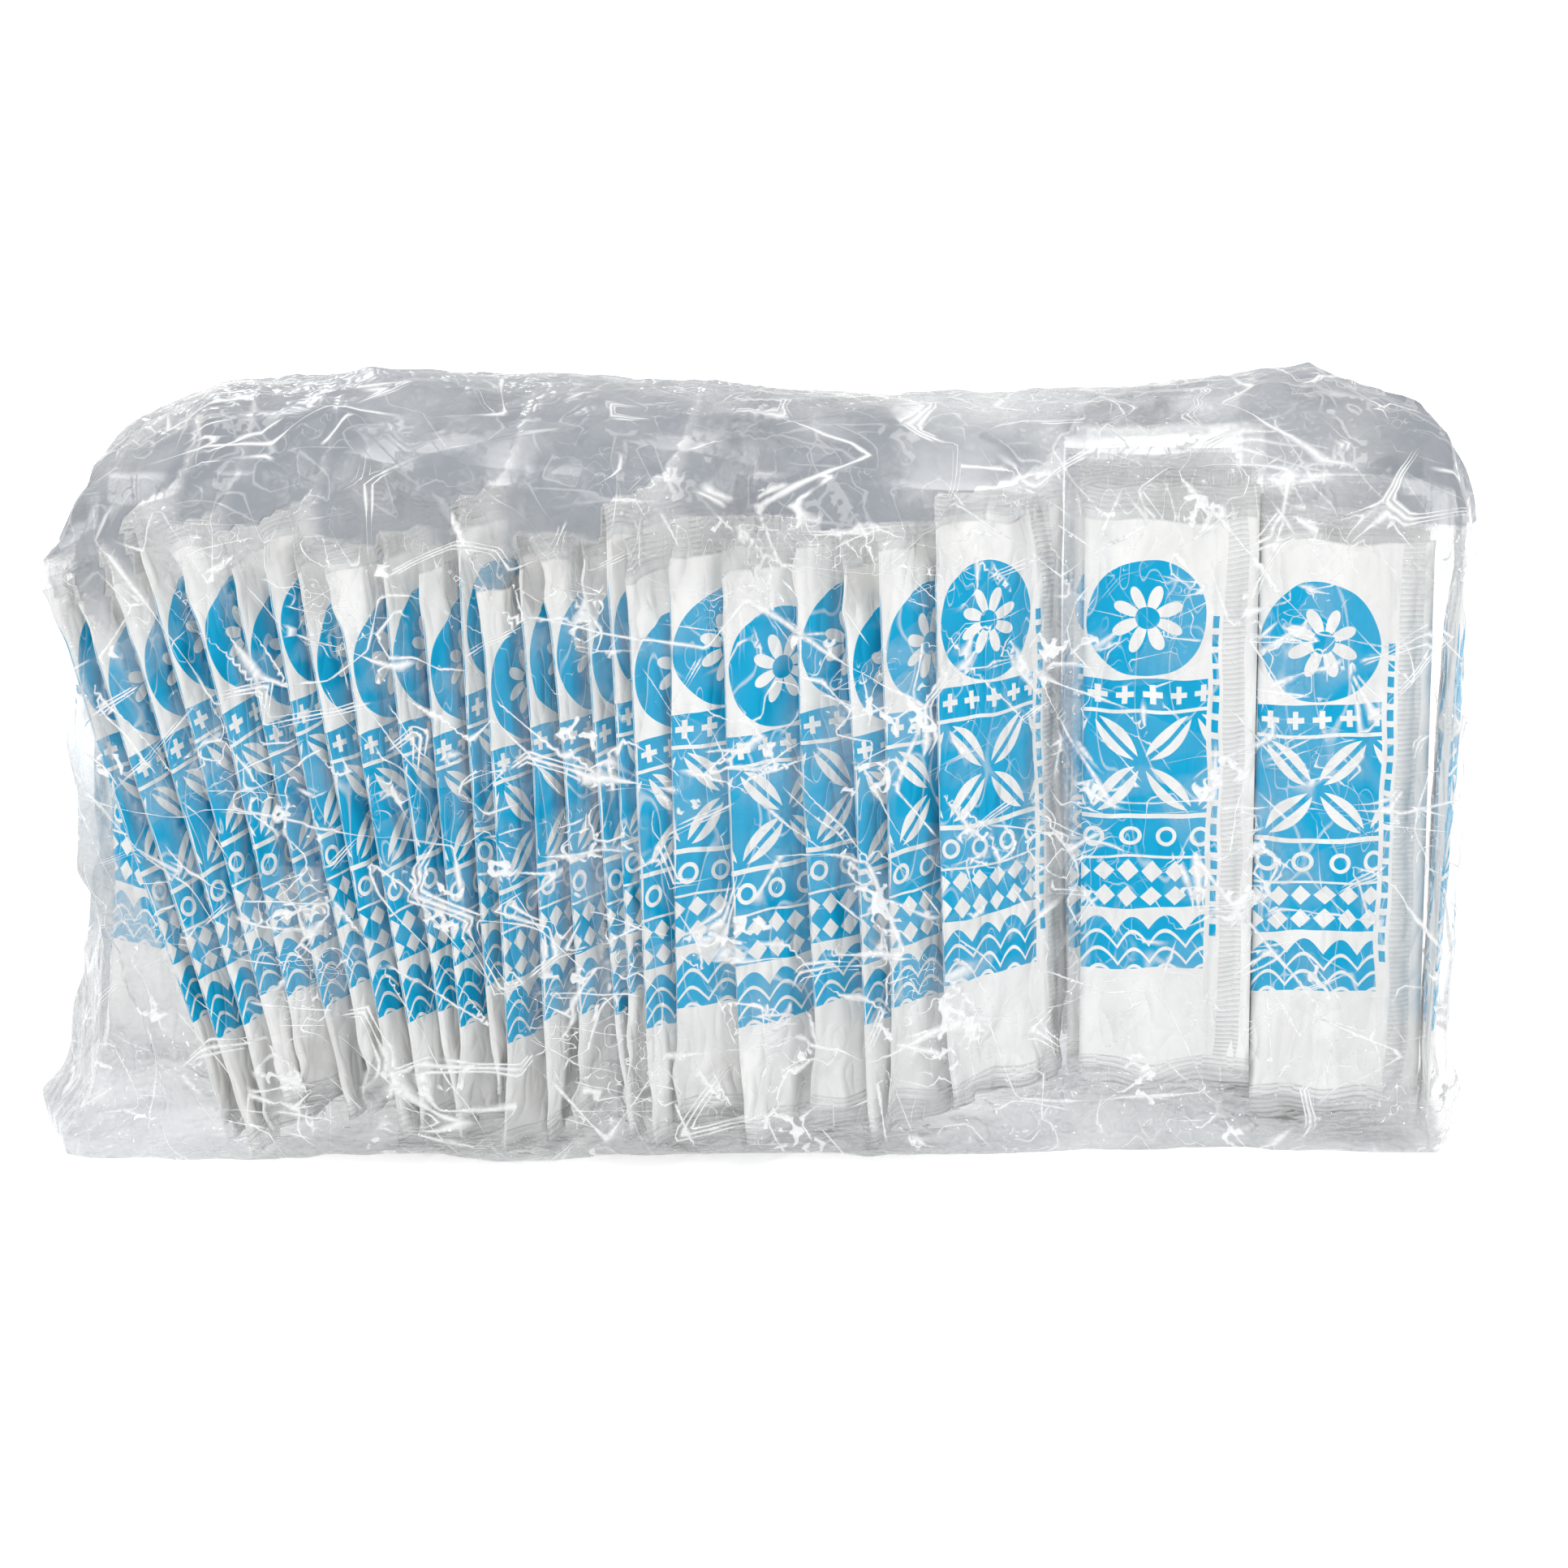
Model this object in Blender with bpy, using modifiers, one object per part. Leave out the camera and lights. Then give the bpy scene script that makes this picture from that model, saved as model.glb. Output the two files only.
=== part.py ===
# A clear film bag packed with 59 film-wrapped cutlery sets, standing on its long side.
# The wrapped sets stand on end. Most are fanned like cards, and two stacks face the front at the right.
import math

import bmesh
import bpy
from mathutils import Matrix, Vector, geometry, noise
from mathutils.bvhtree import BVHTree

# Wrapped cutlery set, called a sachet below. Its length runs up, its printed face looks to -Y.
SACHET_WIDTH = 0.068
SACHET_LENGTH = 0.245
SACHET_BULGE = 0.0109      # thickness over the spoon bowl and the fork head
SEAL_LENGTH = 0.011        # crimped strip across each end
SEAL_THICKNESS = 0.0008    # both films and the crimp
SIDE_TUCK = 0.012          # film beside the cutlery, between its flank and the folded edge
TOE_LENGTH = 0.026         # stretch over which the film closes from the bundle down to the seal
HANDLE_SHARE = 0.66        # thickness over the handles, as a share of the bulge
FLANK_SHARE = 0.80         # thickness at the flank of the bundle, as a share of the middle
BOW = 0.0035               # how far a sachet bends along its length

# How the sachets are packed
TOUCH_GAP = 0.0004         # air left where one sachet leans on the next
FAN_COUNT = 24             # front row at the left, fanned
BACK_COUNT = 16            # back row at the left, fanned the other way
STACK_COUNT = 9            # sachets in each of the two stacks that face the front
FAN_TURN = 63              # degrees that a fanned sachet is turned from the front
OPEN_TURN = 38             # where the fan opens up, at this share of its length
OPEN_SHARE = 0.80
BACK_TURN = -36
EDGE_TURN = 83             # the last sachet, at the right end, stands edge on
FAN_TILT = -16             # degrees that the tops lean at the left end of the front row
FAN_TILT_END = -2
BACK_TILT = 2
ROW_GAP = 0.001            # between the front and the back row
LEAST_LIFT = 0.0045        # slack film under the lowest sachet
MOST_LIFT = 0.024          # how far the squeeze of its neighbours holds a sachet up
STACK_STEP = 0.002         # how unevenly the sachets of a stack lie over each other

# Outer bag
FILM = 0.0006              # film thickness as modelled
FILM_GAP = 0.0005          # air between the film and the sachet that it touches
SLACK = 0.0015             # least room between the film and the bundle's outline
HEADROOM = 0.026           # from the highest sachet to the top of the bag
DOME = 0.048               # height of the rounded top
DOME_FULLNESS = 2.3        # 2 is an elliptic top, more is a squarer one
FOOT_HEIGHTS = (0.003, 0.006, 0.013)    # rings over which the film rounds up from the patch it rests on
FOOT_INSETS = (0.016, 0.006, 0.0)
PATCH_INSET = 0.008        # from the lowest ring to the flat patch that the bag rests on
DRAWN_SHARE = 0.75         # share of the room in front of the sachets that the film is drawn in
DRAWN_MOST = 0.030         # most room that it follows
DRAWN_ABOVE = 0.040        # height at which that is full, above the lowest ring
BRIDGE = 0.024             # the film spans hollows narrower than about twice this
WAVE = 0.0065              # height of the soft folds in the film
TENSION_FOLD = 0.004       # fold that runs across the front, at this height and this far out
TENSION_HEIGHT = 0.165
WAIST = 0.007              # how far the left end is drawn in, at mid height
BELLY = 0.008              # how far the right end swells out there
FLARE_LEFT = 0.018         # how far the bottom corners stick out past the ends
FLARE_RIGHT = 0.004
FLARE_HEIGHT = 0.095
CORNER_DROP = 0.030        # how far the top slopes down towards its two corners
CORNER_RUN = 0.060
PEAK_RIGHT = 0.013         # how far the empty film stands up near the right end
PEAK_LEFT = 0.009
PEAK_RUN = 0.060
GATHER = 0.009             # height of the gathered fold at the middle of the top
VENT_RADIUS = 0.003        # punched hole in the back that lets the air out
VENT_ACROSS = 0.014
VENT_HEIGHT = 0.247
VENT_REACH = 0.008

FRONT_STEPS = 20           # facets of the film along the front, and along the back
SIDE_LEVELS = 10           # rings of film up the sides
DOME_LEVELS = 6            # and over the rounded top
SEARCH_REACH = 0.08        # only sachets nearer than this can be touched
WHITE = (0.86, 0.87, 0.88, 1.0)
CLEAR = (0.72, 0.77, 0.80, 0.35)


def clear_scene():
    for old in list(bpy.data.objects):
        bpy.data.objects.remove(old, do_unlink=True)


def make_material(name, color, roughness):
    material = bpy.data.materials.new(name)
    material.use_nodes = True
    shader = material.node_tree.nodes["Principled BSDF"]
    shader.inputs["Base Color"].default_value = color
    shader.inputs["Alpha"].default_value = color[3]
    shader.inputs["Roughness"].default_value = roughness
    shader.inputs["Metallic"].default_value = 0.0
    return material


def make_collection(name):
    collection = bpy.data.collections.new(name)
    bpy.context.scene.collection.children.link(collection)
    return collection


def bump(value, middle, run):
    return math.exp(-((value - middle) / run) ** 2)


def wander(index, channel):
    """A smooth value between about -1 and 1 that is the same each run."""
    return 2 * noise.noise(Vector((index * 0.73, channel * 5.31, 0.37)))


def sachet_rows():
    """Height up the sachet and thickness there, from its lower edge to its upper edge."""
    seal_top = SACHET_LENGTH - SEAL_LENGTH
    heads_end = seal_top - TOE_LENGTH
    return [
        (0.0, SEAL_THICKNESS),
        (SEAL_LENGTH, SEAL_THICKNESS),
        (SEAL_LENGTH + TOE_LENGTH, SACHET_BULGE * HANDLE_SHARE),
        (heads_end - 2 * TOE_LENGTH, SACHET_BULGE),
        (heads_end, SACHET_BULGE * 0.9),
        (seal_top, SEAL_THICKNESS),
        (SACHET_LENGTH, SEAL_THICKNESS),
    ]


def sachet_bmesh(bow):
    """A pillow of film with flat crimped ends, fullest over the heads, and bent along its length by bow."""
    half = SACHET_WIDTH / 2
    flank = half - SIDE_TUCK
    columns = [(-half, 0.0), (-flank, FLANK_SHARE), (0.0, 1.0), (flank, FLANK_SHARE), (half, 0.0)]
    bm = bmesh.new()
    rings = []
    for height, thickness in sachet_rows():
        bend = bow * (1 - (2 * height / SACHET_LENGTH - 1) ** 2)
        swell = (thickness - SEAL_THICKNESS) / 2
        front = [(x, -SEAL_THICKNESS / 2 - swell * full + bend, height) for x, full in columns]
        back = [(x, SEAL_THICKNESS / 2 + swell * full + bend, height) for x, full in reversed(columns)]
        rings.append([bm.verts.new(co) for co in front + back])
    count = len(rings[0])
    for below, above in zip(rings, rings[1:]):
        for i in range(count):
            j = (i + 1) % count
            bm.faces.new((below[i], below[j], above[j], above[i]))
    for ring in (rings[0], rings[-1]):
        for i in range(len(columns) - 1):
            bm.faces.new((ring[i], ring[i + 1], ring[count - 2 - i], ring[count - 1 - i]))
    bmesh.ops.recalc_face_normals(bm, faces=bm.faces)
    return bm


class Sachet:
    """One sachet in its place: its mesh, the points that distances are taken from, and its search tree."""

    def __init__(self, name, turn, tilt, nod, bow=0.0):
        self.name = name
        self.bm = sachet_bmesh(bow)
        spin = Matrix.Rotation(math.radians(turn), 4, "Z")
        lean = Matrix.Rotation(math.radians(tilt), 4, "Y") @ Matrix.Rotation(math.radians(nod), 4, "X")
        self.bm.transform(lean @ spin)
        self.refresh()

    def refresh(self):
        self.points = [v.co.copy() for v in self.bm.verts]
        for edge in self.bm.edges:
            a, b = edge.verts
            self.points += [a.co.lerp(b.co, share) for share in (0.25, 0.5, 0.75)]
        self.points += [face.calc_center_median() for face in self.bm.faces]
        self.tree = BVHTree.FromBMesh(self.bm)
        self.low = Vector([min(v.co[i] for v in self.bm.verts) for i in range(3)])
        self.high = Vector([max(v.co[i] for v in self.bm.verts) for i in range(3)])

    def move(self, step):
        self.bm.transform(Matrix.Translation(step))
        self.refresh()


def boxes_meet(piece, other, shift, reach):
    low = piece.low + shift
    high = piece.high + shift
    return all(low[i] < other.high[i] + reach and high[i] > other.low[i] - reach for i in range(3))


def distance(piece, other, shift):
    """Shortest distance between two sachets, the first one moved by shift."""
    best = SEARCH_REACH
    for moving, still, step in ((piece, other, shift), (other, piece, -shift)):
        for point in moving.points:
            hit = still.tree.find_nearest(point + step, best)
            if hit[3] is not None:
                best = min(best, hit[3])
    return best


def lean_on(group, others, direction):
    """Slides sachets together along direction until one of them rests on the others, TOUCH_GAP away."""
    shift = Vector((0, 0, 0))
    for _ in range(40):
        near = [(a, b) for a in group for b in others if boxes_meet(a, b, shift, SEARCH_REACH)]
        room = min([distance(a, b, shift) for a, b in near] + [SEARCH_REACH])
        if room < TOUCH_GAP * 1.5:
            break
        shift += direction * (room - TOUCH_GAP)
    for piece in group:
        piece.move(shift)
    while any(a.tree.overlap(b.tree) for a, b in near):
        for piece in group:
            piece.move(-direction * TOUCH_GAP)


def stand(piece, x, y, z):
    """Moves a sachet so that its least x, y and z are at the values given."""
    piece.move(Vector((x, y, z)) - piece.low)


def fan_row(name, count, turn_at, tilt_at, y, floor):
    """Sachets that stand on end and lean on each other from left to right."""
    row = []
    for i in range(count):
        share = i / (count - 1)
        turn = turn_at(share) + 3 * wander(i, 1)
        tilt = tilt_at(share) + 1.2 * wander(i, 2)
        piece = Sachet(f"{name}_{i + 1:02d}", turn, tilt, 1.5 * wander(i, 3), BOW * wander(i, 4))
        lift = LEAST_LIFT + (MOST_LIFT - LEAST_LIFT) * min(1, abs(wander(i, 6)))
        start = row[-1].high.x if row else 0.0
        stand(piece, start, y + 0.004 * abs(wander(i, 5)), floor + lift)
        if row:
            lean_on([piece], row[-4:], Vector((-1, 0, 0)))
        row.append(piece)
    return row


def front_stack(name, lift, floor, y_back, neighbours):
    """Sachets that face the front: the hindmost first, each of the rest leaning on the one behind it."""
    stack = []
    right = max(piece.high.x for piece in neighbours)
    for i in range(STACK_COUNT):
        turn, tilt, nod = 2.5 * wander(i, 7), 1.5 * wander(i, 8), 0.8 * wander(i, 9)
        piece = Sachet(f"{name}_{i + 1:02d}", turn, tilt, nod)
        depth = piece.high.y - piece.low.y
        y = (stack[-1].low.y if stack else y_back) - depth
        x = right + STACK_STEP * (1 + wander(i, 11))
        stand(piece, x, y, floor + lift + STACK_STEP * wander(i, 10))
        if stack:
            lean_on([piece], stack[-1:], Vector((0, 1, 0)))
        stack.append(piece)
    lean_on(stack, neighbours, Vector((-1, 0, 0)))
    return stack


def pack_sachets(floor):
    """All sachets in their places, the leftmost at x = 0."""
    def fan_turn(share):
        return FAN_TURN - (FAN_TURN - OPEN_TURN) * bump(share, OPEN_SHARE, 0.08) - 22 * share ** 8

    def fan_tilt(share):
        return FAN_TILT + (FAN_TILT_END - FAN_TILT) * min(1.0, 1.9 * share)

    def back_turn(share):
        return BACK_TURN * min(1.0, (1.1 - share) / 0.25)

    fan = fan_row("front_sachet", FAN_COUNT, fan_turn, fan_tilt, 0.0, floor)
    depth = max(piece.high.y for piece in fan)
    back = fan_row("back_sachet", BACK_COUNT, back_turn, lambda share: BACK_TILT, depth + ROW_GAP, floor)
    rows = fan + back
    y_back = max(piece.high.y for piece in rows)
    left = front_stack("left_stack", MOST_LIFT, floor, y_back, rows)
    right = front_stack("right_stack", MOST_LIFT / 2, floor, y_back, rows + left)
    edge = Sachet("edge_sachet_01", EDGE_TURN, 1.5, 0.0)
    stand(edge, max(piece.high.x for piece in right), 0.01, floor + LEAST_LIFT)
    lean_on([edge], right, Vector((-1, 0, 0)))
    return rows + left + right + [edge]


def outline_of(points):
    """Convex outline seen from above, as (normal, offset) of each side."""
    flat = [Vector((p.x, p.y)) for p in points]
    corners = [flat[i] for i in geometry.convex_hull_2d(flat)]
    middle = sum(corners, Vector((0, 0))) / len(corners)
    sides = []
    for a, b in zip(corners, corners[1:] + corners[:1]):
        along = b - a
        if along.length > 1e-7:
            normal = Vector((along.y, -along.x)).normalized()
            if normal.dot(a - middle) < 0:
                normal.negate()
            sides.append((normal, normal.dot(a)))
    return sides


def reach_of(sides, origin, direction, room):
    """Distance from origin along direction to the outline, grown by room."""
    return min((offset + room - normal.dot(origin)) / normal.dot(direction)
               for normal, offset in sides if normal.dot(direction) > 1e-6)


def film_rays(low, high):
    """Where each column of the film's grid starts on the bag's spine, and which way it faces."""
    middle = (low.y + high.y) / 2
    left = low.x + (high.y - low.y) / 2
    right = high.x - (high.y - low.y) / 2
    xs = [left + (right - left) * i / FRONT_STEPS for i in range(FRONT_STEPS + 1)]
    turns = [math.radians(angle) for angle in (-45, 0, 45)]
    rays = [(Vector((x, middle)), Vector((0, -1))) for x in xs]
    rays += [(Vector((right, middle)), Vector((math.cos(t), math.sin(t)))) for t in turns]
    rays += [(Vector((x, middle)), Vector((0, 1))) for x in reversed(xs)]
    rays += [(Vector((left, middle)), Vector((-math.cos(t), -math.sin(t)))) for t in turns]
    return rays


def fold_at(x, z, share):
    """Soft folds: how far the film stands out there from its taut outline."""
    broad = noise.noise(Vector((x * 17, z * 23, 1.7)))
    narrow = noise.noise(Vector((x * 43, z * 11, 4.1)))
    fold = WAVE * max(0.0, 0.4 + broad + 0.6 * narrow)
    gather = GATHER * bump(x, 0.0, 0.018) * max(0.0, 2 * share - 1)
    tension = TENSION_FOLD * bump(z, TENSION_HEIGHT + 0.02 * math.sin(x * 9), 0.012)
    return fold + gather + tension


def end_reach(x, share, z):
    """How far past the bundle the ends go: a waist at the left, a belly at the right, flared corners."""
    swell = WAIST * (1 - bump(share, 0.47, 0.22)) if x < 0 else BELLY * bump(share, 0.52, 0.30)
    flare = FLARE_LEFT if x < 0 else FLARE_RIGHT
    return swell + flare * max(0.0, 1 - z / FLARE_HEIGHT) ** 1.4


def top_rise(x, low, high):
    """How far the top edge lies above or below its mean height."""
    width = high.x - low.x
    middle = (low.x + high.x) / 2
    rise = PEAK_RIGHT * bump(x, middle + 0.41 * width, PEAK_RUN)
    rise += PEAK_LEFT * bump(x, middle - 0.23 * width, 2 * PEAK_RUN)
    corner = max(0.0, 1 - (x - low.x) / CORNER_RUN, 1 - (high.x - x) / CORNER_RUN)
    return rise - CORNER_DROP * corner ** 2


def bundle_tree(sachets):
    """One search tree over all the sachets."""
    corners, faces = [], []
    for sachet in sachets:
        sachet.bm.verts.index_update()
        start = len(corners)
        corners += [v.co.copy() for v in sachet.bm.verts]
        faces += [[start + v.index for v in face.verts] for face in sachet.bm.faces]
    return BVHTree.FromPolygons(corners, faces)


def room_behind(tree, place, facing):
    """Air between the taut film and the sachets behind it, the least that is found nearby."""
    across = Vector((-facing.y, facing.x, 0))
    found = [DRAWN_MOST]
    for side in (-1, -0.5, 0, 0.5, 1):
        for up in (-1, 0, 1):
            start = place + (across * side + Vector((0, 0, up))) * BRIDGE
            hit = tree.ray_cast(start, -facing.to_3d(), DRAWN_MOST)
            if hit[0]:
                found.append(hit[3])
    return min(found)


def film_levels(top):
    """Each ring of film: its height, how far it is drawn in, and its share of the full depth."""
    crown = top - DOME
    levels = [(FILM + z, inset, 1.0) for z, inset in zip(FOOT_HEIGHTS, FOOT_INSETS)]
    start = levels[-1][0]
    levels += [(start + (crown - start) * i / SIDE_LEVELS, 0.0, 1.0) for i in range(1, SIDE_LEVELS + 1)]
    for i in range(1, DOME_LEVELS + 1):
        rise = math.sin(math.radians(90 * i / DOME_LEVELS))
        levels.append((crown + DOME * rise, 0.0, (1 - rise ** DOME_FULLNESS) ** (1 / DOME_FULLNESS)))
    return levels


def film_grid(points, tree):
    """Rings of points from the bag's flat bottom to its top, round the packed sachets."""
    low = Vector([min(p[i] for p in points) for i in range(3)])
    high = Vector([max(p[i] for p in points) for i in range(3)])
    top = high.z + HEADROOM
    sides = outline_of(points)
    rings = []
    levels = film_levels(top)
    for z, inset, depth in levels:
        share = z / top
        ring = []
        for origin, facing in film_rays(low, high):
            reach = reach_of(sides, origin, facing, SLACK) - inset
            end = facing.x ** 2
            level = min(max(z, low.z + BRIDGE), high.z - BRIDGE)
            room = room_behind(tree, (origin + facing * reach).to_3d() + Vector((0, 0, level)), facing)
            drawn = DRAWN_SHARE * min(1.0, (z - levels[0][0]) / DRAWN_ABOVE)
            reach += end * end_reach(origin.x, share, z) - (1 - end) * drawn * room
            fold = (1 - end) * fold_at(origin.x, z, share) * min(1.0, (z - levels[0][0]) / FOOT_HEIGHTS[-1])
            across = (reach + fold) * depth + 0.002 * (1 - depth)
            along = reach * (1 - 0.16 * (1 - depth) ** 2)
            x = origin.x + facing.x * along
            y = origin.y + facing.y * across
            rise = top_rise(x, low, high) * max(0.0, share * 3 - 2)
            ring.append(Vector((x, y, z + rise)))
        rings.append(ring)
    return rings


def rest_patch(bm, ring, floor):
    """Closes the lowest ring with the three-cornered flat patch that the bag rests on, without rocking."""
    back = FRONT_STEPS + 4
    front_middle, back_right, back_left = (ring[i].co.xy for i in (FRONT_STEPS // 2, back + 1, back + FRONT_STEPS - 1))
    corners = [bm.verts.new((front_middle.x, front_middle.y + PATCH_INSET, floor)),
               bm.verts.new((back_right.x, back_right.y - PATCH_INSET, floor)),
               bm.verts.new((back_left.x, back_left.y - PATCH_INSET, floor))]
    bm.faces.new(corners)

    def nearest(vert):
        choice = corners if vert.co.y < corners[0].co.y else corners[1:]
        return min(choice, key=lambda corner: (corner.co - vert.co).length)

    for vert, after in zip(ring, ring[1:] + ring[:1]):
        near = [nearest(vert), nearest(after)]
        bm.faces.new([vert, after] + ([near[0]] if near[0] == near[1] else near[::-1]))


def close_rings(rings):
    """Skins the rings, closes the first with its patch and the last with strips from front to back."""
    bm = bmesh.new()
    grid = [[bm.verts.new(co) for co in ring] for ring in rings]
    count = len(grid[0])
    for below, above in zip(grid, grid[1:]):
        for i in range(count):
            j = (i + 1) % count
            bm.faces.new((below[i], below[j], above[j], above[i]))
    top = grid[-1]
    for i in range(FRONT_STEPS):
        k = 2 * FRONT_STEPS + 4 - i
        bm.faces.new((top[i], top[i + 1], top[k - 1], top[k]))
    bm.faces.new(top[FRONT_STEPS:FRONT_STEPS + 5])
    bm.faces.new(top[2 * FRONT_STEPS + 4:] + top[:1])
    rest_patch(bm, grid[0], FILM)
    bmesh.ops.recalc_face_normals(bm, faces=bm.faces)
    return bm


def clear_contents(bm, sachets, floor):
    """Pushes the film out wherever a sachet would come nearer to it than FILM_GAP."""
    points = [p for sachet in sachets for p in sachet.points]
    for turn in range(60):
        bm.normal_update()
        bm.faces.ensure_lookup_table()
        tree = BVHTree.FromBMesh(bm)
        pushes = {}
        for point in points:
            place, normal, index, gap = tree.find_nearest(point, 0.06)
            if place is None:
                continue
            depth = (place - point).dot(normal)
            need = FILM_GAP - (gap if depth > 0 else -gap)
            if need > 1e-6:
                for vert in bm.faces[index].verts:
                    if pushes.get(vert, (0, None))[0] < need:
                        pushes[vert] = (need, normal)
        if turn > 40 or not pushes:
            crossing = {pair[0] for sachet in sachets for pair in tree.overlap(sachet.tree)}
            for index in crossing:
                for vert in bm.faces[index].verts:
                    pushes.setdefault(vert, (FILM_GAP, bm.faces[index].normal.copy()))
        if not pushes:
            break
        for vert, (need, normal) in pushes.items():
            if vert.co.z - floor > 1e-9:
                vert.co += normal * need
                vert.co.z = max(vert.co.z, floor + FOOT_HEIGHTS[0] / 2)


def film_skin(sachets):
    """The inner surface of the bag, clear of the sachets."""
    points = [p for sachet in sachets for p in sachet.points]
    bm = close_rings(film_grid(points, bundle_tree(sachets)))
    clear_contents(bm, sachets, FILM)
    return bm


def build_bag(collection, bm, material):
    """The bag as a closed wall of film round its inner surface, the patch it rests on made truly flat."""
    bag = add_object(collection, "outer_bag", bm, material, 50)
    skin = bag.modifiers.new("film", "SOLIDIFY")
    skin.thickness = FILM
    skin.offset = 1.0
    skin.use_even_offset = True
    bpy.context.view_layer.update()
    graph = bpy.context.evaluated_depsgraph_get()
    wall = bpy.data.meshes.new_from_object(bag.evaluated_get(graph))
    bag.modifiers.clear()
    bag.data = wall
    for vert in wall.vertices:
        if vert.co.z < FILM / 2:
            vert.co.z = 0.0
    return bag


def punch_vent(bag, cutters):
    """A punched hole in the middle of the back, the only way through the film."""
    corners = [v.co for v in bag.data.vertices]
    tree = BVHTree.FromPolygons(corners, [p.vertices for p in bag.data.polygons])
    start = Vector((VENT_ACROSS, 2 * max(co.y for co in corners), VENT_HEIGHT))
    place = tree.ray_cast(start, Vector((0, -1, 0)))[0]
    bm = bmesh.new()
    bmesh.ops.create_cone(bm, cap_ends=True, segments=10, radius1=VENT_RADIUS, radius2=VENT_RADIUS,
                          depth=VENT_REACH)
    bm.transform(Matrix.Translation(place) @ Matrix.Rotation(math.radians(90), 4, "X"))
    mesh = bpy.data.meshes.new("vent_punch")
    bm.to_mesh(mesh)
    bm.free()
    punch = bpy.data.objects.new("vent_punch", mesh)
    punch.hide_render = True
    punch.display_type = "WIRE"
    cutters.objects.link(punch)
    cut = bag.modifiers.new("vent", "BOOLEAN")
    cut.object = punch
    cut.operation = "DIFFERENCE"
    cut.solver = "EXACT"


def add_object(collection, name, bm, material, sharp):
    mesh = bpy.data.meshes.new(name)
    bm.to_mesh(mesh)
    bm.free()
    mesh.materials.append(material)
    mesh.shade_smooth()
    mesh.set_sharp_from_angle(angle=math.radians(sharp))
    part = bpy.data.objects.new(name, mesh)
    collection.objects.link(part)
    return part


def to_centre(points):
    """The move that brings the middle of these points over the origin."""
    x = (min(p.x for p in points) + max(p.x for p in points)) / 2
    y = (min(p.y for p in points) + max(p.y for p in points)) / 2
    return Vector((-x, -y, 0))


def main():
    clear_scene()
    collection = make_collection("cutlery_pack")
    cutters = make_collection("cutters")
    cutters.hide_render = True
    wrap = make_material("wrapped_set", WHITE, 0.35)
    film = make_material("clear_film", CLEAR, 0.12)
    sachets = pack_sachets(FILM + FILM_GAP)
    shift = to_centre([p for sachet in sachets for p in sachet.points])
    for sachet in sachets:
        sachet.move(shift)
    skin = film_skin(sachets)
    shift = to_centre([v.co for v in skin.verts])
    skin.transform(Matrix.Translation(shift))
    for sachet in sachets:
        sachet.move(shift)
        add_object(collection, sachet.name, sachet.bm, wrap, 38)
    bag = build_bag(collection, skin, film)
    punch_vent(bag, cutters)


main()
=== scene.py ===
# Looks of a clear film bag packed with 59 film-wrapped cutlery sets.
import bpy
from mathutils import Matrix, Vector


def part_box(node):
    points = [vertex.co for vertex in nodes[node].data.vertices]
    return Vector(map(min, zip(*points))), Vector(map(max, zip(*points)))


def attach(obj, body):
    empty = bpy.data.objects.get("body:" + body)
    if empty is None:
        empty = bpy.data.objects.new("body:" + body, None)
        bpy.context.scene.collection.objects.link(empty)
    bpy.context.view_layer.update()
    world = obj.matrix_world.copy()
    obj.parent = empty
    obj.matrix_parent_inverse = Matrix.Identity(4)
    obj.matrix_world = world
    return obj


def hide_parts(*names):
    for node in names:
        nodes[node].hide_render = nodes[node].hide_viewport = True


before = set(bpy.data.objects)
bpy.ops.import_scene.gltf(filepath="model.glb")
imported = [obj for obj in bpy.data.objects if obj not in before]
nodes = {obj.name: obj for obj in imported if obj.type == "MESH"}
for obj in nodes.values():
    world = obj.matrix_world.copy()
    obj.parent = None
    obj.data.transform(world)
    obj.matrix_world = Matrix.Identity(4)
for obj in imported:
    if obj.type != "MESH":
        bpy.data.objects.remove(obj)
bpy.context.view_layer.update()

import math

import bmesh
import bpy
import numpy as np
from mathutils import Matrix, Vector, noise
from mathutils.bvhtree import BVHTree
from mathutils.kdtree import KDTree

scene = bpy.context.scene
vertexStep = 1e-5      # vertices of a CAD mesh nearer than this are one
noise.seed_set(5)      # noise vectors come out the same each run


# small helpers for node trees
def put(tree, socket, value):
    if isinstance(value, bpy.types.NodeSocket):
        tree.links.new(value, socket)
    else:
        socket.default_value = value


def calc(tree, operation, *values):
    node = tree.nodes.new("ShaderNodeMath")
    node.operation = operation
    for socket, value in zip(node.inputs, values):
        put(tree, socket, value)
    return node.outputs[0]


def ramp(tree, value, start, end, atStart=0.0, atEnd=1.0):
    node = tree.nodes.new("ShaderNodeMapRange")
    node.interpolation_type = "SMOOTHSTEP"
    for name, given in (("Value", value), ("From Min", start), ("From Max", end),
                        ("To Min", atStart), ("To Max", atEnd)):
        put(tree, node.inputs[name], given)
    return node.outputs[0]


def within(tree, value, low, high):
    return calc(tree, "COMPARE", value, (low + high) / 2, (high - low) / 2)


def both(tree, *masks):
    result = masks[0]
    for mask in masks[1:]:
        result = calc(tree, "MULTIPLY", result, mask)
    return result


def either(tree, *masks):
    result = masks[0]
    for mask in masks[1:]:
        result = calc(tree, "MAXIMUM", result, mask)
    return result


def scaled(tree, vector, factors, turn=(0, 0, 0)):
    node = tree.nodes.new("ShaderNodeMapping")
    put(tree, node.inputs["Vector"], vector)
    node.inputs["Scale"].default_value = factors
    node.inputs["Rotation"].default_value = turn
    return node.outputs[0]


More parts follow.
